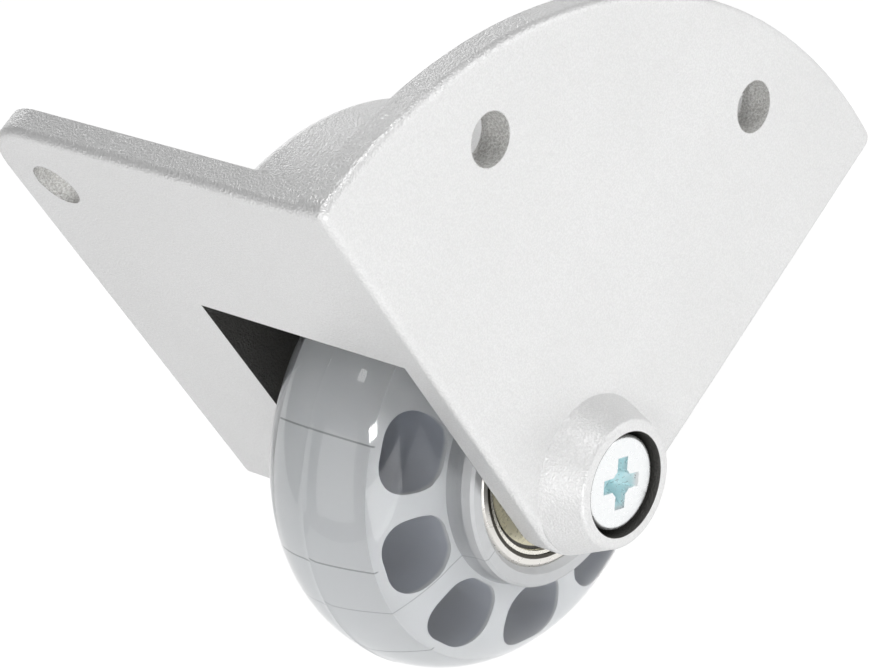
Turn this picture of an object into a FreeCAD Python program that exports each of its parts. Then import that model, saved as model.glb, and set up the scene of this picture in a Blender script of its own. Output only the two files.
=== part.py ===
"""Recessed corner caster: a die-cast corner housing with a skate wheel on two ball bearings.

Millimetres, +Z up. The origin is the cabinet's corner: the point where the three seating faces meet.
The cabinet fills +X, +Y and +Z. The side plate lies on its side (normal -Y), the rear plate on its
back (normal -X) and the bottom plate under it (normal -Z). The axle is parallel to Y.
"""
import math
import os

import FreeCAD
import Part

V = FreeCAD.Vector
AXIS = V(0, 1, 0)

# Close enough for picking edges, and how far a drill runs past its hole
TOLERANCE = 1e-4
DRILL_OVER = 1.0

# Ball bearing, 8 x 22 x 7
BEARING_BORE_R = 4.0
BEARING_R = 11.0
BEARING_W = 7.0
BALL_R = 1.95
BALL_COUNT = 7
RACE_GAP = 0.05          # ball to its race
INNER_LAND_DROP = 1.45   # inner ring's land below the pitch circle
OUTER_LAND_RISE = 1.4    # outer ring's land above the pitch circle
RING_CHAMFER = 0.3
CAGE_T = 1.5
CAGE_BACK = 0.75         # cage's ring behind the ball pockets
CAGE_LIP = 0.8           # prongs' tips past the ball centres
CAGE_GAP = 0.2           # ball in its pocket
SHIELD_T = 0.3
SHIELD_DEPTH = 0.55      # shield's face below the ring's face
SHIELD_STEP = 0.85       # shield's seat above the outer ring's land
SHIELD_SEAT_GAP = 0.05
SHIELD_INNER_GAP = 0.35  # shield to the inner ring
CLIP_WIRE = 0.4          # square section of the snap ring
CLIP_OPEN = 44.0         # degrees left open between its ends
CLIP_TURN = 0.0

# Sleeve, washers and spacer
SLEEVE_GAP = 0.03        # sleeve in the bearing bores
SLEEVE_SHORT = 0.2       # sleeve is this much shorter than the room between the plates
COLLAR_DROP = 0.15       # washers and spacer below the inner ring's land
COLLAR_GAP = 0.1         # washers and spacer on the sleeve
WASHER_T = 1.5
SPACER_LENGTH = 9.0

# Wheel
WHEEL_R = 24.5
TYRE_HALF_W = 9.8
CROWN_SHARE = 0.75       # most of the tyre's height, from the hub up, that is crowned
CROWN_TO_WIDTH = 0.865   # most of its half width that the crown rises
SHOULDER_SHARE = 0.9     # shoulder's radius, as part of the crown's height
TREAD_T = 3.1            # soft tread over the core's rim
SIDE_RISE = 0.8          # tyre's sides climb the hub by this much
NET_COVER = 3.2          # soft skin over the spokes
HUB_WALL = 2.0           # hub round the bearing
HUB_LIP = 0.5            # hub face beyond the bearing's face
HUB_MOUTH = 0.6          # bevel round the bearing seat's mouth
HUB_SHOULDER = 1.2       # shoulder that the bearings stop against
HUB_CHAMFER = 0.3
RIM_T = 1.2              # core's rim outside its windows
FOOT_T = 0.6             # core's foot between the hub and the windows
FOOT_RISE = 2.0          # foot's climb up the hub
WINDOW_COUNT = 10
WINDOW_ANGLE = 27.0
WINDOW_TURN = 18.0
WINDOW_ROUND_SHARE = 0.34

# Housing plates
SECTOR_R = 60.4          # side plate's arc, about the outer corner
SIDE_T = 3.5             # side plate
EDGE_T = 3.1             # rear and bottom plates
EDGE_STEP = 0.4          # rear and bottom plates end this far short of the arc
PLATE_W = 47.6           # rear and bottom plates, from the side plate's outer face
CORNER_R = 7.0           # far corners of the rear and bottom plates
TIP_R = 1.4              # ends of the side plate's arc
EDGE_R = 0.9             # rounded outer edges of the casting

# Wheel well
WHEEL_GAP = 3.2          # tread to the curved wall
WELL_T = 4.6             # curved wall
FAR_WALL_T = 2.0
WELL_EDGE_R = 1.5        # rounded back edge of the well

# Fixing holes
HOLE_R = 2.7
SIDE_HOLE_IN = 8.4       # from the side plate's arc
SIDE_HOLE_ANGLE = 23.1   # each side of the plate's middle line, degrees
EDGE_HOLE_DOWN = 7.8     # from the end of the rear or bottom plate
EDGE_HOLE_IN = 6.9       # from the plate's far edge

# Axle screw and lock nut
SCREW_R = 2.5
SCREW_GAP = 0.15         # screw in the housing and the sleeve
SCREW_PROUD = 2.4        # screw's end past the nut
SCREW_POINT = 0.7        # chamfer at the screw's end
HEAD_R = 4.9
HEAD_H = 3.9
HEAD_ROUND = 0.5
RECESS_ACROSS = 5.4
RECESS_BOTTOM = 2.4
RECESS_DEPTH = 2.6
RECESS_WING = 1.5
RECESS_CORE_R = 1.45
RECESS_TURN = 43.0       # degrees about the axle
NUT_FLATS = 8.0
NUT_H = 5.0
NUT_CHAMFER = 0.5
NUT_TURN = 15.0          # degrees about the axle
NUT_COLLAR_DROP = 0.4    # collar inside the flats
NUT_COLLAR_H = 1.2
NUT_BORE_GAP = 0.05
INSERT_H = 1.4
INSERT_T = 0.9

# Axle boss, pad and nut pocket
AXLE_INSET = 8.6         # axle centre behind the outer faces
BOSS_H = 4.3
BOSS_INSET = 0.3         # boss's foot inside the plate's outline
BOSS_WALL = 1.15         # rim round the counterbore
BOSS_RIM_ROUND = 0.4
HEAD_GAP = 0.55          # screw head to its counterbore
HEAD_BELOW_RIM = 0.6
PAD_WALL = 1.1           # pad on the far wall, beyond the washer
PAD_H = 1.3
POCKET_WALL = 2.2        # round the nut's corners
POCKET_LIP = 0.2         # pocket's rim past the nut
POCKET_GAP = 0.1         # nut to its pocket, each flat

# Radii that follow from the sizes above
PITCH_R = (BEARING_BORE_R + BEARING_R) / 2
INNER_LAND_R = PITCH_R - INNER_LAND_DROP
OUTER_LAND_R = PITCH_R + OUTER_LAND_RISE
SHIELD_SEAT_R = OUTER_LAND_R + SHIELD_STEP
SHIELD_R = SHIELD_SEAT_R - SHIELD_SEAT_GAP
SLEEVE_R = BEARING_BORE_R - SLEEVE_GAP
SLEEVE_BORE_R = SCREW_R + SCREW_GAP
COLLAR_R = INNER_LAND_R - COLLAR_DROP
COLLAR_BORE_R = SLEEVE_R + COLLAR_GAP
HUB_R = BEARING_R + HUB_WALL
CROWN = min(CROWN_SHARE * (WHEEL_R - HUB_R), CROWN_TO_WIDTH * TYRE_HALF_W)
TREAD_START_R = WHEEL_R - CROWN
CORE_R = WHEEL_R - TREAD_T
WINDOW_IN_R = HUB_R + FOOT_T
WINDOW_OUT_R = CORE_R - RIM_T
SHOULDER_R = SHOULDER_SHARE * CROWN
WINDOW_ROUND = WINDOW_ROUND_SHARE * (WINDOW_OUT_R - WINDOW_IN_R)
WELL_R = WHEEL_R + WHEEL_GAP
INSERT_R = SCREW_R + INSERT_T
COUNTERBORE_R = HEAD_R + HEAD_GAP

# Places that follow from the sizes above
OUT_X = -EDGE_T
OUT_Y = -SIDE_T
OUT_Z = -EDGE_T
EDGE_LENGTH = SECTOR_R - EDGE_STEP
AXLE = AXLE_INSET - EDGE_T
FAR_EDGE_Y = PLATE_W - SIDE_T
RIM_Y = OUT_Y - BOSS_H
HEAD_TOP_Y = RIM_Y + HEAD_BELOW_RIM
HEAD_SEAT_Y = HEAD_TOP_Y + HEAD_H
NEAR_BEARING_Y = WASHER_T
FAR_BEARING_Y = NEAR_BEARING_Y + BEARING_W + SPACER_LENGTH
BEARINGS_END_Y = FAR_BEARING_Y + BEARING_W
WHEEL_Y = (NEAR_BEARING_Y + BEARINGS_END_Y) / 2
PAD_Y = BEARINGS_END_Y + WASHER_T
WELL_DEPTH = PAD_Y + PAD_H
FAR_FACE_Y = WELL_DEPTH + FAR_WALL_T
NUT_TOP_Y = FAR_FACE_Y + NUT_H
POCKET_END_Y = NUT_TOP_Y + POCKET_LIP
SCREW_END_Y = NUT_TOP_Y + SCREW_PROUD


def cylinder(radius, start, end, x=AXLE, z=AXLE):
    """A cylinder along Y from start to end."""
    return Part.makeCylinder(radius, end - start, V(x, start, z), AXIS)


def tube(outer, inner, start, end):
    """A tube about the axle."""
    return cylinder(outer, start, end).cut(cylinder(inner, start, end))


def turned(edges_or_points):
    """A solid turned about the axle from a closed outline of (radius, y) points or ready edges."""
    if isinstance(edges_or_points[0], Part.Edge):
        wire = Part.Wire(edges_or_points)
    else:
        points = [V(r, y, 0) for r, y in edges_or_points]
        wire = Part.makePolygon(points + points[:1])
    solid = Part.Face(wire).revolve(V(0, 0, 0), AXIS, 360)
    solid.translate(V(AXLE, 0, AXLE))
    return solid


def around_axle(shape, degrees):
    """A copy of the shape turned about the axle."""
    copy = shape.copy()
    copy.rotate(V(AXLE, 0, AXLE), AXIS, degrees)
    return copy


def hexagon(flats, start, end):
    """A hexagonal prism about the axle, a corner pointing along +X."""
    radius = flats / math.sqrt(3)
    corners = [math.radians(60 * i) for i in range(7)]
    points = [V(AXLE + radius * math.cos(a), start, AXLE + radius * math.sin(a)) for a in corners]
    return Part.Face(Part.makePolygon(points)).extrude(V(0, end - start, 0))


def edges_where(shape, test):
    """The edges whose end points and middle all pass the test."""
    chosen = []
    for edge in shape.Edges:
        middle = edge.valueAt((edge.FirstParameter + edge.LastParameter) / 2)
        points = [vertex.Point for vertex in edge.Vertexes] + [middle]
        if all(test(p) for p in points):
            chosen.append(edge)
    return chosen


def near(a, b):
    return abs(a - b) < TOLERANCE


def cross_edges(shape, corners):
    """The edges along Y that pass through the given corner points."""
    return edges_where(shape, lambda p: any(near(p.x, c.x) and near(p.z, c.z) for c in corners))


def side_plate():
    """The quarter-round plate, its apex rounded about the axle and its outer edge rounded over."""
    diagonal = AXLE_INSET / math.sqrt(2)
    arc_mid = SECTOR_R / math.sqrt(2)
    top = V(OUT_X, OUT_Y, OUT_Z + SECTOR_R)
    right = V(OUT_X + SECTOR_R, OUT_Y, OUT_Z)
    left_tangent = V(OUT_X, OUT_Y, AXLE)
    low_tangent = V(AXLE, OUT_Y, OUT_Z)
    outline = [
        Part.LineSegment(left_tangent, top).toShape(),
        Part.Arc(top, V(OUT_X + arc_mid, OUT_Y, OUT_Z + arc_mid), right).toShape(),
        Part.LineSegment(right, low_tangent).toShape(),
        Part.Arc(low_tangent, V(AXLE - diagonal, OUT_Y, AXLE - diagonal), left_tangent).toShape(),
    ]
    plate = Part.Face(Part.Wire(outline)).extrude(V(0, SIDE_T, 0))
    plate = plate.makeFillet(TIP_R, cross_edges(plate, [top, right]))
    rim = edges_where(plate, lambda p: near(p.y, OUT_Y))
    return plate.makeFillet(EDGE_R, rim)


def mirrored(shape):
    """The shape mirrored in the corner's middle plane, which swaps X and Z."""
    return shape.mirror(V(0, 0, 0), V(1, 0, -1))


def rear_plate():
    """The rear plate, from the side plate's inner face, with its far top corner round."""
    plate = Part.makeBox(EDGE_T, FAR_EDGE_Y, EDGE_LENGTH, V(OUT_X, 0, OUT_Z))
    top_z = OUT_Z + EDGE_LENGTH
    corner = edges_where(plate, lambda p: near(p.y, FAR_EDGE_Y) and near(p.z, top_z))
    return plate.makeFillet(CORNER_R, corner)


def edge_plates():
    """Rear and bottom plates in one, with the fold and the free outer edges rounded over."""
    rear = rear_plate()
    plates = rear.fuse(mirrored(rear)).removeSplitter()
    outer = edges_where(plates, lambda p: near(p.x, OUT_X) or near(p.z, OUT_Z))
    return plates.makeFillet(EDGE_R, [e for e in outer if e.CenterOfMass.y > TOLERANCE])


def corner_block(radius, start, end, low):
    """A block in the corner, round about the axle and straight from there to low in X and Z."""
    high = AXLE + radius
    diagonal = AXLE + radius / math.sqrt(2)
    top = [V(low, start, low), V(low, start, high), V(AXLE, start, high)]
    right = [V(high, start, AXLE), V(high, start, low), V(low, start, low)]
    outline = Part.makePolygon(top).Edges
    outline.append(Part.Arc(top[-1], V(diagonal, start, diagonal), right[0]).toShape())
    outline += Part.makePolygon(right).Edges
    return Part.Face(Part.Wire(outline)).extrude(V(0, end - start, 0))


def well_body():
    """The bulge that holds the wheel, still solid, rooted half way through the plates."""
    body = corner_block(WELL_R + WELL_T, 0, FAR_FACE_Y, OUT_X / 2)
    back = edges_where(body, lambda p: near(p.y, FAR_FACE_Y))
    return body.makeFillet(WELL_EDGE_R, [e for e in back if min(e.CenterOfMass.x, e.CenterOfMass.z) > 0])


def axle_boss():
    """The tapered boss on the side plate, still solid, rooted half way through the plate."""
    rim_r = COUNTERBORE_R + BOSS_WALL
    foot_r = AXLE_INSET - BOSS_INSET
    root_y = OUT_Y + SIDE_T / 2
    boss = turned([(0, RIM_Y), (rim_r, RIM_Y), (foot_r, OUT_Y), (foot_r, root_y), (0, root_y)])
    rim = edges_where(boss, lambda p: near(p.y, RIM_Y))
    return boss.makeFillet(BOSS_RIM_ROUND, rim)


def fixing_holes():
    """Drills for the four fixing holes."""
    from_corner = SECTOR_R - SIDE_HOLE_IN
    angle = math.radians(45 + SIDE_HOLE_ANGLE)
    x = OUT_X + from_corner * math.cos(angle)
    z = OUT_Z + from_corner * math.sin(angle)
    side = cylinder(HOLE_R, OUT_Y - DRILL_OVER, DRILL_OVER, x, z)
    up = OUT_Z + EDGE_LENGTH - EDGE_HOLE_DOWN
    foot = V(OUT_X - DRILL_OVER, FAR_EDGE_Y - EDGE_HOLE_IN, up)
    rear = Part.makeCylinder(HOLE_R, EDGE_T + 2 * DRILL_OVER, foot, V(1, 0, 0))
    return [side, mirrored(side), rear, mirrored(rear)]


def corner_housing():
    """The one-piece casting."""
    body = side_plate().multiFuse([edge_plates(), well_body()])
    body = body.cut(corner_block(WELL_R, 0, WELL_DEPTH, OUT_X - DRILL_OVER))
    body = body.multiFuse([
        axle_boss(),
        cylinder(COLLAR_R + PAD_WALL, PAD_Y, FAR_FACE_Y),
        pocket_boss(),
    ])
    nut_room = hexagon(NUT_FLATS + 2 * POCKET_GAP, FAR_FACE_Y, POCKET_END_Y)
    tools = [
        cylinder(COUNTERBORE_R, RIM_Y - DRILL_OVER, HEAD_SEAT_Y),
        cylinder(SCREW_R + SCREW_GAP, RIM_Y, FAR_EDGE_Y),
        around_axle(nut_room, NUT_TURN),
    ]
    return body.cut(tools + fixing_holes()).removeSplitter()


def pocket_boss():
    """The boss behind the far wall that takes the nut."""
    radius = NUT_FLATS / math.sqrt(3) + POCKET_WALL
    return corner_block(radius, FAR_FACE_Y, POCKET_END_Y, OUT_X / 2)


def recess_wing():
    """One wing of the cross recess: a wedge that narrows as it goes down."""
    top = RECESS_ACROSS / 2
    low = RECESS_BOTTOM / 2
    floor = HEAD_TOP_Y + RECESS_DEPTH
    z = AXLE - RECESS_WING / 2
    points = [
        V(AXLE - top, HEAD_TOP_Y, z),
        V(AXLE + top, HEAD_TOP_Y, z),
        V(AXLE + low, floor, z),
        V(AXLE - low, floor, z),
    ]
    return Part.Face(Part.makePolygon(points + points[:1])).extrude(V(0, 0, RECESS_WING))


def axle_screw():
    """Cheese-head screw with a cross recess."""
    head = cylinder(HEAD_R, HEAD_TOP_Y, HEAD_SEAT_Y)
    head = head.makeFillet(HEAD_ROUND, edges_where(head, lambda p: near(p.y, HEAD_TOP_Y)))
    shank = cylinder(SCREW_R, HEAD_SEAT_Y, SCREW_END_Y)
    shank = shank.makeChamfer(SCREW_POINT, edges_where(shank, lambda p: near(p.y, SCREW_END_Y)))
    wing = recess_wing()
    core = cylinder(RECESS_CORE_R, HEAD_TOP_Y, HEAD_TOP_Y + RECESS_DEPTH)
    recess = wing.multiFuse([around_axle(wing, 90), core])
    return head.fuse(shank).cut(around_axle(recess, RECESS_TURN)).removeSplitter()


def lock_nut():
    """Hexagon nut with a collar that is open for its insert."""
    hex_end = NUT_TOP_Y - NUT_COLLAR_H
    inner = NUT_FLATS / 2
    outer = NUT_FLATS / math.sqrt(3)
    nut = around_axle(hexagon(NUT_FLATS, FAR_FACE_Y, hex_end), NUT_TURN)
    nut = nut.common(turned([
        (0, FAR_FACE_Y),
        (inner, FAR_FACE_Y),
        (outer, FAR_FACE_Y + NUT_CHAMFER),
        (outer, hex_end - NUT_CHAMFER),
        (inner, hex_end),
        (0, hex_end),
    ]))
    nut = nut.fuse(cylinder(inner - NUT_COLLAR_DROP, hex_end, NUT_TOP_Y))
    nut = nut.cut(cylinder(SCREW_R + NUT_BORE_GAP, FAR_FACE_Y, NUT_TOP_Y))
    return nut.cut(cylinder(INSERT_R, NUT_TOP_Y - INSERT_H, NUT_TOP_Y)).removeSplitter()


def nut_insert():
    """The nut's locking ring."""
    return tube(INSERT_R, SCREW_R + NUT_BORE_GAP, NUT_TOP_Y - INSERT_H, NUT_TOP_Y)


def bearing_rings(start, outward):
    """Outer and inner ring with their ball races and the shield's seat on the outward side."""
    end = start + BEARING_W
    race = Part.makeTorus(PITCH_R, BALL_R + RACE_GAP, V(AXLE, start + BEARING_W / 2, AXLE), AXIS)
    outer = cylinder(BEARING_R, start, end)
    outer = outer.makeChamfer(RING_CHAMFER, [e for e in outer.Edges if e.Closed])
    depth = SHIELD_DEPTH + SHIELD_T
    seat = cylinder(SHIELD_SEAT_R, start, start + depth)
    if outward > 0:
        seat = cylinder(SHIELD_SEAT_R, end - depth, end)
    outer = outer.cut([cylinder(OUTER_LAND_R, start, end), seat, race])
    inner = tube(INNER_LAND_R, BEARING_BORE_R, start, end).cut(race)
    return outer, inner


def bearing_balls(start):
    """The balls, spread evenly round the pitch circle."""
    ball = Part.makeSphere(BALL_R, V(AXLE + PITCH_R, start + BEARING_W / 2, AXLE), AXIS)
    return [around_axle(ball, 360 / BALL_COUNT * i) for i in range(BALL_COUNT)]


def bearing_cage(start, outward):
    """The crown that keeps the balls apart: a ring on the open side, its prongs between the balls."""
    middle = start + BEARING_W / 2
    pocket_r = BALL_R + CAGE_GAP
    low, high = sorted((middle + outward * CAGE_LIP, middle - outward * (pocket_r + CAGE_BACK)))
    ring = tube(PITCH_R + CAGE_T / 2, PITCH_R - CAGE_T / 2, low, high)
    pocket = Part.makeCylinder(pocket_r, 2 * CAGE_T, V(AXLE + PITCH_R - CAGE_T, middle, AXLE), V(1, 0, 0))
    return ring.cut([around_axle(pocket, 360 / BALL_COUNT * i) for i in range(BALL_COUNT)])


def outward_face(start, outward):
    """Where the bearing's outward face lies."""
    return start if outward < 0 else start + BEARING_W


def bearing_shield(start, outward):
    """The thin cover on the outward side, set below the ring's face."""
    face = outward_face(start, outward) - outward * SHIELD_DEPTH
    low, high = sorted((face, face - outward * SHIELD_T))
    return tube(SHIELD_R, INNER_LAND_R + SHIELD_INNER_GAP, low, high)


def snap_ring(start, outward):
    """The open wire ring that holds the shield in."""
    face = outward_face(start, outward) - outward * SHIELD_DEPTH
    low = min(face, face + outward * CLIP_WIRE)
    corner = V(AXLE + SHIELD_R - CLIP_WIRE, low, AXLE)
    section = Part.makePlane(CLIP_WIRE, CLIP_WIRE, corner, V(0, 0, 1))
    ring = section.revolve(V(AXLE, 0, AXLE), AXIS, 360 - CLIP_OPEN)
    return around_axle(ring, CLIP_TURN)


def window():
    """One window through the wheel core: a keystone with round corners."""
    half = math.radians(WINDOW_ANGLE / 2)
    far = [V(WINDOW_OUT_R * math.cos(a), 0, WINDOW_OUT_R * math.sin(a)) for a in (-half, 0, half)]
    close = [V(WINDOW_IN_R * math.cos(a), 0, WINDOW_IN_R * math.sin(a)) for a in (half, 0, -half)]
    outline = [
        Part.Arc(*far).toShape(),
        Part.LineSegment(far[2], close[0]).toShape(),
        Part.Arc(*close).toShape(),
        Part.LineSegment(close[2], far[0]).toShape(),
    ]
    hole = Part.Face(Part.Wire(outline)).extrude(V(0, 2 * TYRE_HALF_W, 0))
    corners = cross_edges(hole, [far[0], far[2], close[0], close[2]])
    hole = hole.makeFillet(WINDOW_ROUND, corners)
    hole.translate(V(AXLE, WHEEL_Y - TYRE_HALF_W, AXLE))
    return hole


def wheel_core():
    """Hub, spokes and rim in one moulding, with a seat for each bearing."""
    hub_half = (BEARINGS_END_Y - NEAR_BEARING_Y) / 2 + HUB_LIP
    hub = cylinder(HUB_R, WHEEL_Y - hub_half, WHEEL_Y + hub_half)
    hub = hub.makeChamfer(HUB_CHAMFER, [e for e in hub.Edges if e.Closed])
    net_half = TYRE_HALF_W - NET_COVER
    half = [
        (BEARING_R, net_half + FOOT_RISE),
        (HUB_R, net_half + FOOT_RISE),
        (WINDOW_IN_R, net_half),
        (CORE_R, net_half),
    ]
    outline = [(r, WHEEL_Y - y) for r, y in half] + [(r, WHEEL_Y + y) for r, y in reversed(half)]
    net = turned(outline)
    turns = [WINDOW_TURN + 360 / WINDOW_COUNT * i for i in range(WINDOW_COUNT)]
    holes = [around_axle(window(), turn) for turn in turns]
    core = hub.fuse(net.cut(holes))
    mouth_r = BEARING_R + HUB_MOUTH
    bores = [
        Part.makeCone(mouth_r, BEARING_R, HUB_MOUTH, V(AXLE, WHEEL_Y - hub_half, AXLE), AXIS),
        Part.makeCone(mouth_r, BEARING_R, HUB_MOUTH, V(AXLE, WHEEL_Y + hub_half, AXLE), -AXIS),
        cylinder(BEARING_R, WHEEL_Y - hub_half, NEAR_BEARING_Y + BEARING_W),
        cylinder(BEARING_R, FAR_BEARING_Y, WHEEL_Y + hub_half),
        cylinder(BEARING_R - HUB_SHOULDER, WHEEL_Y - hub_half, WHEEL_Y + hub_half),
    ]
    return core.cut(bores).removeSplitter()


def crown_edges():
    """The crown in the (radius, y) plane: a tread arc that runs smoothly into two shoulder arcs."""
    side = TYRE_HALF_W - SHOULDER_R
    tread_r = (CROWN ** 2 + side ** 2 - SHOULDER_R ** 2) / (2 * (CROWN - SHOULDER_R))
    tread_at = V(WHEEL_R - tread_r, WHEEL_Y, 0)
    blends = []
    arcs = []
    for way in (-1, 1):
        shoulder_at = V(TREAD_START_R, WHEEL_Y + way * side, 0)
        blend = tread_at + (shoulder_at - tread_at) * (tread_r / (tread_r - SHOULDER_R))
        start = V(TREAD_START_R, WHEEL_Y + way * TYRE_HALF_W, 0)
        along = start + blend - shoulder_at * 2
        middle = shoulder_at + along * (SHOULDER_R / along.Length)
        arcs.append(Part.Arc(start, middle, blend).toShape())
        blends.append(blend)
    tread = Part.Arc(blends[0], V(WHEEL_R, WHEEL_Y, 0), blends[1]).toShape()
    return [arcs[0], tread, arcs[1]]


def tyre(core):
    """The soft tread moulded over the core, through its windows and up the sides of the hub."""
    low = WHEEL_Y - TYRE_HALF_W
    high = WHEEL_Y + TYRE_HALF_W
    feet = [V(HUB_R, low - SIDE_RISE, 0), V(HUB_R, high + SIDE_RISE, 0)]
    outline = [
        Part.LineSegment(feet[0], V(TREAD_START_R, low, 0)).toShape(),
        *crown_edges(),
        Part.LineSegment(V(TREAD_START_R, high, 0), feet[1]).toShape(),
        Part.LineSegment(feet[1], feet[0]).toShape(),
    ]
    return turned(Part.__sortEdges__(outline)).cut(core)


def save(name, shapes):
    """Write one node."""
    shape = shapes[0] if len(shapes) == 1 else Part.makeCompound(shapes)
    shape.exportStep(os.path.join("parts", name + ".step"))
    print(name, len(shape.Solids), round(shape.Volume, 1), shape.isValid())


def main():
    os.makedirs("parts", exist_ok=True)
    core = wheel_core()
    save("corner_housing", [corner_housing()])
    save("wheel_core", [core])
    save("tyre", [tyre(core)])
    save("axle_screw", [axle_screw()])
    save("lock_nut", [lock_nut()])
    save("nut_insert", [nut_insert()])
    save("axle_sleeve", [tube(SLEEVE_R, SLEEVE_BORE_R, 0, PAD_Y - SLEEVE_SHORT)])
    save("near_washer", [tube(COLLAR_R, COLLAR_BORE_R, 0, WASHER_T)])
    save("far_washer", [tube(COLLAR_R, COLLAR_BORE_R, BEARINGS_END_Y, PAD_Y)])
    save("bearing_spacer", [tube(COLLAR_R, COLLAR_BORE_R, NEAR_BEARING_Y + BEARING_W, FAR_BEARING_Y)])
    for side, start, outward in (("near", NEAR_BEARING_Y, -1), ("far", FAR_BEARING_Y, 1)):
        outer, inner = bearing_rings(start, outward)
        save(side + "_outer_ring", [outer])
        save(side + "_inner_ring", [inner])
        save(side + "_balls", bearing_balls(start))
        save(side + "_cage", [bearing_cage(start, outward)])
        save(side + "_shield", [bearing_shield(start, outward)])
        save(side + "_snap_ring", [snap_ring(start, outward)])


main()
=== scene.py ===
"""Looks for the recessed corner caster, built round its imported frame."""
import math

import bmesh
import bpy
from mathutils import Matrix, Vector


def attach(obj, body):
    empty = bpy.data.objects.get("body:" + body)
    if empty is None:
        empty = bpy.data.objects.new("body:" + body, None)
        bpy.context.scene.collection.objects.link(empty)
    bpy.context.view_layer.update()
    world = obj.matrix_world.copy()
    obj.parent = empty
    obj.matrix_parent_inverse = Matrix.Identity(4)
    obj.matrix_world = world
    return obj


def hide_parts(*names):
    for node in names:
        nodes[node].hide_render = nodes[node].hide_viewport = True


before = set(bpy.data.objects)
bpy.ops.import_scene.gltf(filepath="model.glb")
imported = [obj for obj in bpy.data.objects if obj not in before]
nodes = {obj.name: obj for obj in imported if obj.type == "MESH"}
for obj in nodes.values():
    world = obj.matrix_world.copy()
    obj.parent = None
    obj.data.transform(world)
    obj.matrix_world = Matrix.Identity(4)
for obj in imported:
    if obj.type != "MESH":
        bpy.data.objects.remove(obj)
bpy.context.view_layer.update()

MM = 0.001
MERGE = 0.002 * MM
SHARP_ANGLE = math.radians(35)
TURN_STEPS = 144
ORIGIN = (0, 0, 0)
ALONG_AXLE = (0, 1, 0)
AXLE = Vector((5.5, 0, 5.5)) * MM

# Wheel, a hair smaller than in CAD so that it stays inside the CAD box
WHEEL_R = 24.48 * MM
HUB_R = 13.0 * MM
WHEEL_Y = 13.0 * MM
WHEEL_CENTRE = AXLE + Vector((0, WHEEL_Y, 0))

# Tread
TREAD_FOOT_R = HUB_R - 0.2 * MM
TREAD_HALF = 9.8 * MM
SIDE_RISE = 0.8 * MM
CROWN = 8.477 * MM
SHOULDER_R = 0.9 * CROWN
SHOULDER_STEPS = 14
CROWN_STEPS = 12
PARTING_RISE = 0.08 * MM
PARTING_HALF = 0.14 * MM

# Wheel core
CORE_R = 21.4 * MM
NET_FOOT_R = HUB_R - 0.3 * MM
NET_FOOT_HALF = 7.7 * MM
NET_RIM_HALF = 5.6 * MM
NET_SLOPE = (NET_RIM_HALF - NET_FOOT_HALF) / (CORE_R - NET_FOOT_R)
HUB_HALF = 12.0 * MM
HUB_CHAMFER = 0.3 * MM
HUB_MOUTH = 0.6 * MM
BEARING_R = 11.0 * MM
STOP_R = 9.8 * MM
STOP_HALF = 4.5 * MM

# Windows of the wheel core
WINDOW_COUNT = 10
WINDOW_HALF_STEP = math.pi / WINDOW_COUNT
WINDOW_IN_R = 13.5 * MM
WINDOW_OUT_R = 20.2 * MM
WINDOW_ANGLE = math.radians(27.2)
WINDOW_TURN = math.radians(18.7)
WINDOW_ROUND = 3.0 * MM
WINDOW_ROUND_STEPS = 10
WINDOW_SHARE_CUTS = 11

# Mould lines and painted shade on the wheel core, each pair the two ends of a fade
RIM_LINE_EDGE = (0.05 * MM, 0.12 * MM)
RIM_LINE_START = (CORE_R - 0.6 * MM, CORE_R - 0.3 * MM)
RIM_LINE_SHARE = 0.6
KNIT_ANGLE = math.radians(177)
KNIT_EDGE = (0.04 * MM, 0.09 * MM)
KNIT_END = (-2.0 * MM, -1.0 * MM)
KNIT_SHARE = 0.4
WINDOW_WALL_DEPTH = (0.2 * MM, 1.2 * MM)
WINDOW_WALL_END = (WINDOW_OUT_R + 0.2 * MM, WINDOW_OUT_R + 0.4 * MM)

# Housing
WELL_R = 27.7 * MM
WELL_DEPTH = 27.3 * MM
WELL_MOUTH = (-0.05 * MM, -0.01 * MM)
HOLE_R = 2.7 * MM
SIDE_HOLE_NEAR = 16.295 * MM
SIDE_HOLE_FAR = 45.147 * MM
EDGE_HOLE_Y = 37.2 * MM
EDGE_HOLE_UP = 49.1 * MM

# Axle screw
COUNTERBORE_R = 5.45 * MM
HEAD_TOP_Y = -7.2 * MM
HEAD_SEAT_Y = -3.3 * MM
RECESS_FLOOR_Y = HEAD_TOP_Y + 2.6 * MM
RECESS_REACH = 2.7 * MM
RECESS_MOUTH_EDGE = (HEAD_TOP_Y + 0.1 * MM, HEAD_TOP_Y + 0.6 * MM)
RECESS_FLOOR_EDGE = (RECESS_FLOOR_Y + 0.05 * MM, RECESS_FLOOR_Y + 0.1 * MM)
RECESS_REACH_EDGE = (RECESS_REACH + 0.05 * MM, RECESS_REACH + 0.15 * MM)

# Thread on the end of the axle screw
SCREW_R = 2.5 * MM
SCREW_END_Y = 36.7 * MM
THREAD_START_Y = 33.9 * MM
THREAD_LENGTH = SCREW_END_Y - THREAD_START_Y
THREAD_PITCH = 0.8 * MM
THREAD_RISE = THREAD_LENGTH - THREAD_PITCH
THREAD_TURN_STEPS = 36
THREAD_ROOT_R = 2.05 * MM
THREAD_ROOT_SIDES = 48
THREAD_END_BEVEL = 0.35 * MM
TOOTH_FOOT_R = THREAD_ROOT_R - 0.05 * MM
TOOTH_HALF = 0.32 * MM

# Painted shade in the bearing's grooves, as inner and outer radius
RING_GROOVE = (9.6 * MM, 10.12 * MM)
SNAP_RING_GROOVE = (9.7 * MM, 9.9 * MM)
SHIELD_GROOVE = (8.85 * MM, 9.25 * MM)
GROOVE_FADE = 0.04 * MM

# Where a mask fades out past the surface that it marks
FADE_FROM = 0.02 * MM
FADE_TO = 0.06 * MM

# The part of a noise's range that is spread over a whole variation
NOISE_RANGE = (0.3, 0.7)

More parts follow.
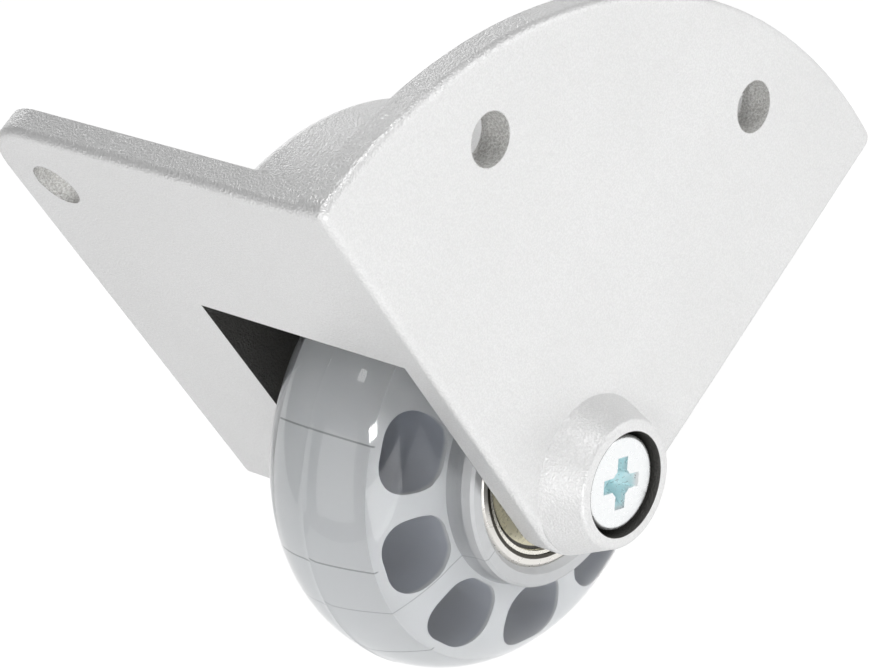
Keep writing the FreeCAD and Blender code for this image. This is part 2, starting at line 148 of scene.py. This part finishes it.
# The parts of a noise's range over which the flecks of the silver coat set in
FLECK_TONE_EDGE = (0.35, 0.68)
FLECK_EDGE = (0.40, 0.62)

# Silver coat between its flecks and on them
COAT_ROUGHNESS = (0.46, 0.40)
COAT_METAL = (0.42, 0.56)

# The least and most cloud on the silver coat, and the height of the crumbs in its fixing holes
COAT_CLOUD_SHARE = (0.0, 0.25)
CRUMB_HEIGHT = 2.0

# Least and most roughness of the other finishes
CORE_ROUGHNESS = (0.34, 0.46)
TREAD_ROUGHNESS = (0.05, 0.09)
ZINC_ROUGHNESS = (0.26, 0.38)
NYLON_ROUGHNESS = (0.4, 0.55)

# How far plated metal goes below and above its own roughness
PLATE_POLISH = 0.06
PLATE_WEAR = 0.08

# Metal share of the zinc, from the open surface to the recess
ZINC_METAL = (0.85, 0.35)

# Floor and sky
FLOOR_Z = -19.0 * MM
FLOOR_SIZE = 6.0
FLOOR_GLOW = 0.88
SKY_LEVEL = 0.10

# Camera
CAMERA_AT = Vector((-114.58, -209.71, 260.42)) * MM
RIGHT = Vector((0.5327, -0.7394, -0.4117)).normalized()
AHEAD = Vector((0.3538, 0.6365, -0.6853)).normalized()
UP = RIGHT.cross(AHEAD).normalized()
SENSOR_WIDTH = 36
LENS = 144.81
SHIFT_X = 0.00889
SHIFT_Y = -0.02045
CLIP_START = 0.01

# Lamps: name, place in metres, size in metres, watts, and whether the object mirrors them
LAMPS = (
    ("front", (0.06, -0.43, 0.04), 0.10, 0.70, False),
    ("fill", (-0.30, -0.35, 0.02), 0.35, 1.10, True),
    ("key", (-0.222, -0.196, 0.294), 0.05, 0.28, True),
    ("right", (0.45, -0.40, 0.19), 0.40, 0.88, True),
    ("left", (-0.15, 0.02, 0.10), 0.12, 0.075, True),
    ("top", (0.11, 0.00, 0.30), 0.12, 0.26, True),
    ("glint", (-0.07, 0.00, 0.30), 0.04, 0.03, True),
    ("back", (0.30, 0.45, 0.05), 0.30, 0.6, True),
)
LAMP_TARGET = Vector((12, 8, 18)) * MM


def rgb(red, green, blue):
    return (red, green, blue, 1.0)


def grey(level):
    return rgb(level, level, level)


# Tones of the finishes, each pair from darker to lighter
COAT_TONES = (grey(0.80), grey(0.86))
COAT_CLOUD = rgb(0.75, 0.75, 0.745)
# Painted shade for the wheel well and the counterbore
WELL_SHADE_TONES = (rgb(0.085, 0.083, 0.078), rgb(0.13, 0.127, 0.12))
BARE_TONES = (rgb(0.66, 0.65, 0.63), rgb(1.0, 1.0, 0.98))
CORE_TONES = (rgb(0.90, 0.92, 0.92), rgb(0.94, 0.95, 0.95))
# Painted shade on the hub
HUB_SHADE_TONES = (rgb(0.58, 0.59, 0.60), rgb(0.64, 0.65, 0.66))
# Painted shade on the window walls of the wheel core
WINDOW_WALL_SHADE = rgb(0.58, 0.61, 0.67)
MOULD_LINE = rgb(0.16, 0.17, 0.18)
TREAD_TONES = (rgb(0.95, 0.96, 0.97), rgb(0.99, 0.99, 1.0))
TREAD_SMOKE = rgb(0.50, 0.53, 0.57)
ZINC_TONES = (rgb(0.85, 0.87, 0.88), rgb(0.91, 0.92, 0.92))
RECESS_TONES = (rgb(0.62, 0.86, 0.90), rgb(0.86, 0.97, 0.98))
GROUND_STEEL_TONES = (rgb(0.80, 0.78, 0.74), rgb(0.86, 0.84, 0.80))
SPRING_WIRE_TONES = (rgb(0.93, 0.90, 0.80), rgb(0.97, 0.95, 0.88))
YELLOW_SHIELD_TONES = (rgb(0.97, 0.90, 0.62), rgb(1.0, 0.96, 0.76))
TURNED_STEEL_TONES = (rgb(0.48, 0.49, 0.50), rgb(0.58, 0.59, 0.60))
# Painted shade in the bearing's grooves
GROOVE_SHADE = rgb(0.05, 0.045, 0.035)
NYLON_TONES = (rgb(0.72, 0.71, 0.66), rgb(0.80, 0.79, 0.75))
FLOOR_TONES = (grey(0.29), grey(0.31))


class Finish:
    """A node material with short calls for the nodes that the finishes share."""

    def __init__(self, name):
        self.material = bpy.data.materials.new(name)
        self.material.use_nodes = True
        self.tree = self.material.node_tree
        self.shader = self.tree.nodes["Principled BSDF"]
        self.out = self.tree.nodes["Material Output"]
        self.place = self.add("ShaderNodeTexCoord").outputs["Object"]

    def add(self, kind, **settings):
        node = self.tree.nodes.new(kind)
        for name, value in settings.items():
            setattr(node, name, value)
        return node

    def link(self, source, target):
        self.tree.links.new(source, target)

    def put(self, socket, value):
        """Feed a socket from another one, or give it a fixed value."""
        if isinstance(value, bpy.types.NodeSocket):
            self.link(value, socket)
        else:
            socket.default_value = value

    def surface(self, **values):
        """Feed the shader's own sockets."""
        for name, value in values.items():
            self.put(self.shader.inputs[name.replace("_", " ")], value)

    def noise(self, scale, detail, roughness=0.5):
        node = self.add("ShaderNodeTexNoise")
        self.link(self.place, node.inputs["Vector"])
        node.inputs["Scale"].default_value = scale
        node.inputs["Detail"].default_value = detail
        node.inputs["Roughness"].default_value = roughness
        return node.outputs["Fac"]

    def math(self, operation, a, b=0.0, c=0.0):
        node = self.add("ShaderNodeMath", operation=operation)
        for socket, value in zip(node.inputs, (a, b, c)):
            self.put(socket, value)
        return node.outputs[0]

    def ramp(self, value, low, high, to_low=0.0, to_high=1.0):
        node = self.add("ShaderNodeMapRange", interpolation_type="SMOOTHSTEP")
        self.put(node.inputs["Value"], value)
        self.put(node.inputs["From Min"], low)
        self.put(node.inputs["From Max"], high)
        self.put(node.inputs["To Min"], to_low)
        self.put(node.inputs["To Max"], to_high)
        return node.outputs["Result"]

    def fall(self, value, low, high):
        """1 below a range, 0 above it."""
        return self.ramp(value, low, high, 1.0, 0.0)

    def within(self, value, limit):
        """1 up to a limit, 0 just past it."""
        return self.fall(value, limit + FADE_FROM, limit + FADE_TO)

    def mix(self, share, a, b):
        node = self.add("ShaderNodeMix", data_type="RGBA")
        self.put(node.inputs["Factor"], share)
        colours = [s for s in node.inputs if s.type == "RGBA"]
        self.put(colours[0], a)
        self.put(colours[1], b)
        return [s for s in node.outputs if s.type == "RGBA"][0]

    def mottle(self, tones, scale, detail):
        """A colour that wanders between two tones."""
        return self.mix(self.noise(scale, detail), *tones)

    def vary(self, limits, scale, detail):
        """A value that wanders between two limits."""
        return self.ramp(self.noise(scale, detail), *NOISE_RANGE, *limits)

    def axes(self):
        node = self.add("ShaderNodeSeparateXYZ")
        self.link(self.place, node.inputs[0])
        return node.outputs

    def bump(self, height, strength, distance):
        node = self.add("ShaderNodeBump")
        node.inputs["Strength"].default_value = strength
        node.inputs["Distance"].default_value = distance
        self.link(height, node.inputs["Height"])
        self.link(node.outputs["Normal"], self.shader.inputs["Normal"])

    def length(self, a, b):
        squares = [self.math("MULTIPLY", side, side) for side in (a, b)]
        return self.math("SQRT", self.math("ADD", *squares))

    def near_line(self, a, b, at_a, at_b):
        """Distance from a line along the third axis."""
        return self.length(self.math("SUBTRACT", a, at_a), self.math("SUBTRACT", b, at_b))

    def from_axle(self, x, z):
        return self.near_line(x, z, AXLE.x, AXLE.z)

    def all_of(self, *masks):
        """Where every mask holds."""
        product = masks[0]
        for mask in masks[1:]:
            product = self.math("MULTIPLY", product, mask)
        return product


def fixing_hole_walls(f, x, y, z):
    """A mask that is 1 on the walls of the four fixing holes."""
    side = f.math("MINIMUM", f.near_line(x, z, SIDE_HOLE_NEAR, SIDE_HOLE_FAR),
                  f.near_line(x, z, SIDE_HOLE_FAR, SIDE_HOLE_NEAR))
    edge = f.math("MINIMUM", f.near_line(y, z, EDGE_HOLE_Y, EDGE_HOLE_UP),
                  f.near_line(x, y, EDGE_HOLE_UP, EDGE_HOLE_Y))
    return f.within(f.math("MINIMUM", side, edge), HOLE_R)


def wheel_well_walls(f, x, y, z):
    """A mask that is 1 inside the wheel well, which is round above the axle and straight beside it."""
    across = f.math("MAXIMUM", f.math("SUBTRACT", x, AXLE.x), 0.0)
    above = f.math("MAXIMUM", f.math("SUBTRACT", z, AXLE.z), 0.0)
    return f.all_of(
        f.within(f.length(across, above), WELL_R),
        f.within(y, WELL_DEPTH),
        f.ramp(y, *WELL_MOUTH),
    )


def silver_coat():
    """Sandy silver powder coat, near-black as painted shade in the well and counterbore, bare in the fixing
    holes.
    """
    f = Finish("silver_coat")
    x, y, z = f.axes()
    grain = f.noise(scale=4200, detail=1)
    fleck = f.noise(scale=5200, detail=1)
    crumb = f.noise(scale=4200, detail=4, roughness=0.7)
    coat = f.mix(f.ramp(fleck, *FLECK_TONE_EDGE), *COAT_TONES)
    coat = f.mix(f.vary(COAT_CLOUD_SHARE, scale=60, detail=2), coat, COAT_CLOUD)
    # Painted shade: the near-black tones in the well and the counterbore stand in for the shade that falls
    # there.
    painted_well_shade = f.mix(grain, *WELL_SHADE_TONES)
    bare = f.mix(f.ramp(crumb, *FLECK_EDGE), *BARE_TONES)
    counterbore = f.all_of(
        f.within(f.from_axle(x, z), COUNTERBORE_R),
        f.within(y, HEAD_SEAT_Y),
    )
    well = f.math("MAXIMUM", wheel_well_walls(f, x, y, z), counterbore)
    holes = fixing_hole_walls(f, x, y, z)
    metal = f.ramp(fleck, *FLECK_EDGE, *COAT_METAL)
    f.surface(
        Base_Color=f.mix(holes, f.mix(well, coat, painted_well_shade), bare),
        Roughness=f.ramp(fleck, *FLECK_EDGE, *COAT_ROUGHNESS),
        Metallic=f.math("MULTIPLY", metal, f.math("SUBTRACT", 1.0, holes)),
    )
    crumbs = f.math("MULTIPLY", crumb, f.math("MULTIPLY", holes, CRUMB_HEIGHT))
    f.bump(f.math("ADD", grain, crumbs), strength=1.0, distance=0.10 * MM)
    return f.material


def pale_core():
    """Pale core plastic with painted shade on the hub and window walls, and the fine dark lines of its
    mould.
    """
    f = Finish("pale_core")
    x, y, z = f.axes()
    dx = f.math("SUBTRACT", x, AXLE.x)
    dz = f.math("SUBTRACT", z, AXLE.z)
    out = f.length(dx, dz)
    turn = f.math("PINGPONG", f.math("ARCTAN2", dz, dx), WINDOW_HALF_STEP)
    beside_rim_line = f.math("MULTIPLY", f.math("SUBTRACT", WINDOW_HALF_STEP, turn), out)
    rim_line = f.all_of(
        f.fall(beside_rim_line, *RIM_LINE_EDGE),
        f.ramp(out, *RIM_LINE_START),
    )
    beside_knit = f.math("ADD", f.math("MULTIPLY", dx, math.sin(KNIT_ANGLE)),
                         f.math("MULTIPLY", dz, -math.cos(KNIT_ANGLE)))
    knit = f.all_of(
        f.fall(f.math("ABSOLUTE", beside_knit), *KNIT_EDGE),
        f.fall(dx, *KNIT_END),
    )
    half = f.math("MULTIPLY_ADD", f.math("SUBTRACT", out, NET_FOOT_R), NET_SLOPE, NET_FOOT_HALF)
    depth = f.math("SUBTRACT", half, f.math("ABSOLUTE", f.math("SUBTRACT", y, WHEEL_Y)))
    # Painted shade: the walls of the windows, below the faces of the net, are greyer for the shade inside
    # them.
    window_wall_shade = f.all_of(
        f.ramp(depth, *WINDOW_WALL_DEPTH),
        f.fall(out, *WINDOW_WALL_END),
    )
    pale = f.mix(window_wall_shade, f.mottle(CORE_TONES, scale=400, detail=2), WINDOW_WALL_SHADE)
    # Painted shade: the hub is greyer for the shade that the side plate casts on it.
    pale = f.mix(f.within(out, HUB_R), pale, f.mottle(HUB_SHADE_TONES, scale=900, detail=2))
    lines = f.math("MAXIMUM", f.math("MULTIPLY", rim_line, RIM_LINE_SHARE),
                   f.math("MULTIPLY", knit, KNIT_SHARE))
    f.surface(
        Base_Color=f.mix(lines, pale, MOULD_LINE),
        Roughness=f.vary(CORE_ROUGHNESS, scale=1200, detail=2),
    )
    f.bump(f.noise(scale=3000, detail=2), strength=0.1, distance=0.02 * MM)
    return f.material


def smoky_tread():
    """Clear smoke-grey soft plastic that darkens with depth."""
    f = Finish("smoky_tread")
    f.surface(
        Base_Color=f.mottle(TREAD_TONES, scale=150, detail=3),
        Roughness=f.vary(TREAD_ROUGHNESS, scale=500, detail=3),
        Transmission_Weight=0.96,
        IOR=1.45,
    )
    f.bump(f.noise(scale=300, detail=2), strength=0.05, distance=0.05 * MM)
    smoke = f.add("ShaderNodeVolumeAbsorption")
    smoke.inputs["Color"].default_value = TREAD_SMOKE
    smoke.inputs["Density"].default_value = 40.0
    f.link(smoke.outputs[0], f.out.inputs["Volume"])
    return f.material


def bright_zinc():
    """Near-white zinc plating, bluer down in the screw's recess."""
    f = Finish("bright_zinc")
    x, y, z = f.axes()
    recess = f.all_of(
        f.ramp(y, *RECESS_MOUTH_EDGE),
        f.fall(y, *RECESS_FLOOR_EDGE),
        f.fall(f.from_axle(x, z), *RECESS_REACH_EDGE),
    )
    plate = f.mottle(ZINC_TONES, scale=1500, detail=3)
    blue = f.mottle(RECESS_TONES, scale=1800, detail=2)
    f.surface(
        Base_Color=f.mix(recess, plate, blue),
        Roughness=f.vary(ZINC_ROUGHNESS, scale=2500, detail=2),
        Metallic=f.ramp(recess, 0.0, 1.0, *ZINC_METAL),
    )
    return f.material


def plated(name, tones, roughness, metallic=1.0, groove=None):
    """Plated or ground metal with faint wear in its shine, with or without painted shade in a groove."""
    f = Finish(name)
    colour = f.mottle(tones, scale=900, detail=3)
    if groove:
        x, _, z = f.axes()
        out = f.from_axle(x, z)
        inner, outer = groove
        # Painted shade: a dark band in the groove, for the shade where the bearing's parts meet.
        dark = f.all_of(
            f.ramp(out, inner - GROOVE_FADE, inner + GROOVE_FADE),
            f.fall(out, outer - GROOVE_FADE, outer + GROOVE_FADE),
        )
        colour = f.mix(dark, colour, GROOVE_SHADE)
    wear = (roughness - PLATE_POLISH, roughness + PLATE_WEAR)
    f.surface(
        Base_Color=colour,
        Roughness=f.vary(wear, scale=1800, detail=2),
        Metallic=metallic,
    )
    return f.material


def natural_nylon():
    """Milky undyed nylon."""
    f = Finish("natural_nylon")
    f.surface(
        Base_Color=f.mottle(NYLON_TONES, scale=500, detail=2),
        Roughness=f.vary(NYLON_ROUGHNESS, scale=1500, detail=2),
    )
    return f.material


def dress(names, material):
    """Give CAD nodes a finish."""
    for name in names:
        data = nodes[name].data
        data.materials.clear()
        data.materials.append(material)


def piece(name, bm, material, body, replaced):
    """Finish a bmesh as a smooth piece that rides on a body in place of a CAD node."""
    bmesh.ops.remove_doubles(bm, verts=bm.verts, dist=MERGE)
    bmesh.ops.recalc_face_normals(bm, faces=bm.faces)
    for face in bm.faces:
        face.smooth = True
    data = bpy.data.meshes.new(name)
    bm.to_mesh(data)
    bm.free()
    data.materials.append(material)
    obj = bpy.data.objects.new(name, data)
    bpy.context.scene.collection.objects.link(obj)
    data.set_sharp_from_angle(angle=SHARP_ANGLE)
    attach(obj, body)
    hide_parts(replaced)


def arc_from(bm, vertex, centre, degrees, steps):
    """Carry a profile on from a vertex along an arc, and return its last vertex."""
    made = bmesh.ops.spin(bm, geom=[vertex], cent=centre, axis=(0, 0, 1),
                          angle=math.radians(degrees), steps=steps)
    return [v for v in made["geom_last"] if isinstance(v, bmesh.types.BMVert)][0]


def lathe(bm, profile):
    """Turn the vertices and edges of a closed profile once round the Y axis."""
    bmesh.ops.spin(bm, geom=profile, cent=ORIGIN, axis=ALONG_AXLE, angle=math.tau,
                   steps=TURN_STEPS, use_merge=True)


def rectangle(bm, half_width, low, high):
    corners = [(-half_width, low, 0), (half_width, low, 0), (half_width, high, 0), (-half_width, high, 0)]
    return bm.faces.new([bm.verts.new(corner) for corner in corners])


def wheel_net():
    """Spokes and rim: one window's share laid out flat, wrapped round the axle, repeated and made solid."""
    bm = bmesh.new()
    unroll_r = (WINDOW_IN_R + WINDOW_OUT_R) / 2
    rectangle(bm, WINDOW_ANGLE / 2 * unroll_r, WINDOW_IN_R, WINDOW_OUT_R)
    bmesh.ops.bevel(bm, geom=bm.verts[:], offset=WINDOW_ROUND, offset_type="OFFSET", affect="VERTICES",
                    segments=WINDOW_ROUND_STEPS, profile=0.5, material=-1)
    share = rectangle(bm, WINDOW_HALF_STEP * unroll_r, NET_FOOT_R, CORE_R)
    bmesh.ops.subdivide_edges(bm, edges=share.edges[:], cuts=WINDOW_SHARE_CUTS)
    bmesh.ops.delete(bm, geom=bm.faces[:], context="FACES_ONLY")
    bmesh.ops.bridge_loops(bm, edges=bm.edges[:])
    for v in bm.verts:
        angle = v.co.x / unroll_r + WINDOW_TURN
        radius = v.co.y
        half = NET_FOOT_HALF + NET_SLOPE * (radius - NET_FOOT_R)
        v.co = (radius * math.cos(angle), -half, radius * math.sin(angle))
    others = WINDOW_COUNT - 1
    bmesh.ops.spin(bm, geom=bm.faces[:], cent=ORIGIN, axis=ALONG_AXLE,
                   angle=math.tau * others / WINDOW_COUNT, steps=others, use_duplicate=True)
    bmesh.ops.remove_doubles(bm, verts=bm.verts, dist=MERGE)
    far_side = bmesh.ops.extrude_face_region(bm, geom=bm.faces[:])["geom"]
    for v in far_side:
        if isinstance(v, bmesh.types.BMVert):
            v.co.y = -v.co.y
    return bm


def windowed_core(material):
    """The wheel core: a hub with a seat for each bearing, and the spokes and rim round it."""
    bm = wheel_net()
    half = [
        (STOP_R, STOP_HALF),
        (BEARING_R, STOP_HALF),
        (BEARING_R, HUB_HALF - HUB_MOUTH),
        (BEARING_R + HUB_MOUTH, HUB_HALF),
        (HUB_R - HUB_CHAMFER, HUB_HALF),
        (HUB_R, HUB_HALF - HUB_CHAMFER),
    ]
    outline = half + [(radius, -y) for radius, y in reversed(half)]
    corners = [bm.verts.new((radius, y, 0)) for radius, y in outline]
    edges = [bm.edges.new(pair) for pair in zip(corners, corners[1:] + corners[:1])]
    lathe(bm, corners + edges)
    bmesh.ops.translate(bm, verts=bm.verts, vec=WHEEL_CENTRE)
    piece("windowed_core", bm, material, "wheel", "wheel_core")


def soft_tread(material):
    """The tread as one clear body round the core, with the mould's parting line on its crown."""
    tread_start = WHEEL_R - CROWN
    side = TREAD_HALF - SHOULDER_R
    tread_r = (CROWN ** 2 + side ** 2 - SHOULDER_R ** 2) / (2 * (CROWN - SHOULDER_R))
    lean = math.degrees(math.atan2(side, tread_r - CROWN))
    parting_lean = math.degrees(PARTING_HALF / tread_r)
    bm = bmesh.new()
    foot = bm.verts.new((TREAD_FOOT_R, -TREAD_HALF - SIDE_RISE, 0))
    flat_end = bm.verts.new((tread_start, -TREAD_HALF, 0))
    bm.edges.new((foot, flat_end))
    blend = arc_from(bm, flat_end, (tread_start, -side, 0), 90 - lean, SHOULDER_STEPS)
    top = arc_from(bm, blend, (WHEEL_R - tread_r, 0, 0), lean - parting_lean, CROWN_STEPS)
    for v in bm.verts:
        v.co.x -= PARTING_RISE * max(0.0, min(1.0, (v.co.x - tread_start) / CROWN))
    peak = bm.verts.new((WHEEL_R, 0, 0))
    bm.edges.new((top, peak))
    bmesh.ops.mirror(bm, geom=bm.verts[:] + bm.edges[:], axis="Y", merge_dist=MERGE)
    bmesh.ops.remove_doubles(bm, verts=bm.verts, dist=MERGE)
    bm.edges.new([v for v in bm.verts if v.co.x < HUB_R])
    lathe(bm, bm.verts[:] + bm.edges[:])
    bmesh.ops.translate(bm, verts=bm.verts, vec=WHEEL_CENTRE)
    piece("soft_tread", bm, material, "wheel", "tyre")


def thread_root(bm):
    """The core of the thread, with a bevelled end."""
    middle = Matrix.Translation((0, SCREW_END_Y - THREAD_LENGTH / 2, 0))
    root = bmesh.ops.create_cone(bm, cap_ends=True, segments=THREAD_ROOT_SIDES, depth=THREAD_LENGTH,
                                 radius1=THREAD_ROOT_R, radius2=THREAD_ROOT_R,
                                 matrix=middle @ Matrix.Rotation(math.pi / 2, 4, "X"))
    at_end = [v for v in root["verts"] if v.co.y > SCREW_END_Y - MERGE]
    rim = [e for e in bm.edges if e.verts[0] in at_end and e.verts[1] in at_end]
    bmesh.ops.bevel(bm, geom=rim, offset=THREAD_END_BEVEL, offset_type="OFFSET", affect="EDGES",
                    segments=1, profile=0.5, material=-1)


def thread_tooth(bm):
    """The thread's tooth, a triangle wound up along the axle."""
    tooth = [(TOOTH_FOOT_R, -TOOTH_HALF), (SCREW_R, 0.0), (TOOTH_FOOT_R, TOOTH_HALF)]
    corners = [bm.verts.new((radius, THREAD_START_Y + y, 0)) for radius, y in tooth]
    face = bm.faces.new(corners)
    turns = THREAD_RISE / THREAD_PITCH
    steps = round(THREAD_TURN_STEPS * turns)
    bmesh.ops.spin(bm, geom=corners + face.edges[:] + [face], cent=ORIGIN, axis=ALONG_AXLE,
                   dvec=(0, THREAD_RISE / steps, 0), angle=math.tau * turns, steps=steps)


def threaded_screw(material):
    """The axle screw, its plain end cut off inside the nut and a thread put in its place."""
    plain = nodes["axle_screw"].data.copy()
    plain.attributes.remove(plain.attributes["custom_normal"])
    bm = bmesh.new()
    bm.from_mesh(plain)
    bpy.data.meshes.remove(plain)
    bmesh.ops.remove_doubles(bm, verts=bm.verts, dist=MERGE)
    whole = bm.verts[:] + bm.edges[:] + bm.faces[:]
    cut = bmesh.ops.bisect_plane(bm, geom=whole, plane_co=(0, THREAD_START_Y, 0), plane_no=ALONG_AXLE,
                                 clear_outer=True)["geom_cut"]
    bmesh.ops.edgeloop_fill(bm, edges=[e for e in cut if isinstance(e, bmesh.types.BMEdge)])
    bmesh.ops.translate(bm, verts=bm.verts, vec=-AXLE)
    thread_root(bm)
    thread_tooth(bm)
    bmesh.ops.translate(bm, verts=bm.verts, vec=AXLE)
    piece("threaded_screw", bm, material, "housing", "axle_screw")


def backdrop():
    """A wide pale floor that stays white round the object and takes its shadow."""
    bm = bmesh.new()
    bmesh.ops.create_grid(bm, x_segments=1, y_segments=1, size=FLOOR_SIZE)
    bmesh.ops.translate(bm, verts=bm.verts, vec=(0, 0, FLOOR_Z))
    data = bpy.data.meshes.new("floor")
    bm.to_mesh(data)
    bm.free()
    floor = bpy.data.objects.new("floor", data)
    bpy.context.scene.collection.objects.link(floor)
    f = Finish("pale_floor")
    f.surface(
        Base_Color=f.mottle(FLOOR_TONES, scale=3, detail=2),
        Roughness=0.9,
        Specular_IOR_Level=0.0,
    )
    glow = f.add("ShaderNodeEmission")
    path = f.add("ShaderNodeLightPath").outputs
    mirrored = f.math("MAXIMUM", path["Is Glossy Ray"], path["Is Transmission Ray"])
    seen = f.math("MAXIMUM", path["Is Camera Ray"], mirrored)
    f.link(f.math("MULTIPLY", seen, FLOOR_GLOW), glow.inputs["Strength"])
    both = f.add("ShaderNodeAddShader")
    f.link(f.shader.outputs[0], both.inputs[0])
    f.link(glow.outputs[0], both.inputs[1])
    f.link(both.outputs[0], f.out.inputs["Surface"])
    data.materials.append(f.material)


def camera():
    data = bpy.data.cameras.new("camera")
    data.sensor_width = SENSOR_WIDTH
    data.lens = LENS
    data.shift_x = SHIFT_X
    data.shift_y = SHIFT_Y
    data.clip_start = CLIP_START
    obj = bpy.data.objects.new("camera", data)
    obj.matrix_world = Matrix.Translation(CAMERA_AT) @ Matrix((RIGHT, UP, -AHEAD)).transposed().to_4x4()
    bpy.context.scene.collection.objects.link(obj)
    bpy.context.scene.camera = obj


def softbox(name, at, size, watts, mirrored):
    """A square soft lamp that faces the object, itself out of sight, with or without a reflection."""
    data = bpy.data.lights.new(name, "AREA")
    data.size = size
    data.energy = watts
    obj = bpy.data.objects.new(name, data)
    at = Vector(at)
    facing = (LAMP_TARGET - at).to_track_quat("-Z", "Y")
    obj.matrix_world = Matrix.Translation(at) @ facing.to_matrix().to_4x4()
    obj.visible_camera = False
    obj.visible_glossy = mirrored
    bpy.context.scene.collection.objects.link(obj)


def studio():
    """A dim sky that looks white to the camera, and soft lamps round the object and above it."""
    scene = bpy.context.scene
    scene.view_settings.view_transform = "Standard"
    world = bpy.data.worlds.new("studio")
    scene.world = world
    world.use_nodes = True
    tree = world.node_tree
    sky = tree.nodes["Background"]
    sky.inputs["Color"].default_value = grey(1)
    level = tree.nodes.new("ShaderNodeMath")
    level.operation = "MAXIMUM"
    level.inputs[1].default_value = SKY_LEVEL
    tree.links.new(tree.nodes.new("ShaderNodeLightPath").outputs["Is Camera Ray"], level.inputs[0])
    tree.links.new(level.outputs[0], sky.inputs["Strength"])
    for lamp in LAMPS:
        softbox(*lamp)


dress(["corner_housing"], silver_coat())
windowed_core(pale_core())
zinc = bright_zinc()
ground = plated("ground_steel", GROUND_STEEL_TONES, roughness=0.32, metallic=0.55, groove=RING_GROOVE)
spring = plated("spring_wire", SPRING_WIRE_TONES, roughness=0.25, metallic=0.5, groove=SNAP_RING_GROOVE)
gilt = plated("yellow_shield", YELLOW_SHIELD_TONES, roughness=0.28, metallic=0.3, groove=SHIELD_GROOVE)
turned = plated("turned_steel", TURNED_STEEL_TONES, roughness=0.35)
dress(["lock_nut", "near_washer", "far_washer"], zinc)
threaded_screw(zinc)
dress(["axle_sleeve", "bearing_spacer"], turned)
dress(["nut_insert", "near_cage", "far_cage"], natural_nylon())
for end in ("near", "far"):
    dress([end + "_outer_ring", end + "_inner_ring", end + "_balls"], ground)
    dress([end + "_snap_ring"], spring)
    dress([end + "_shield"], gilt)
soft_tread(smoky_tread())
backdrop()
camera()
studio()
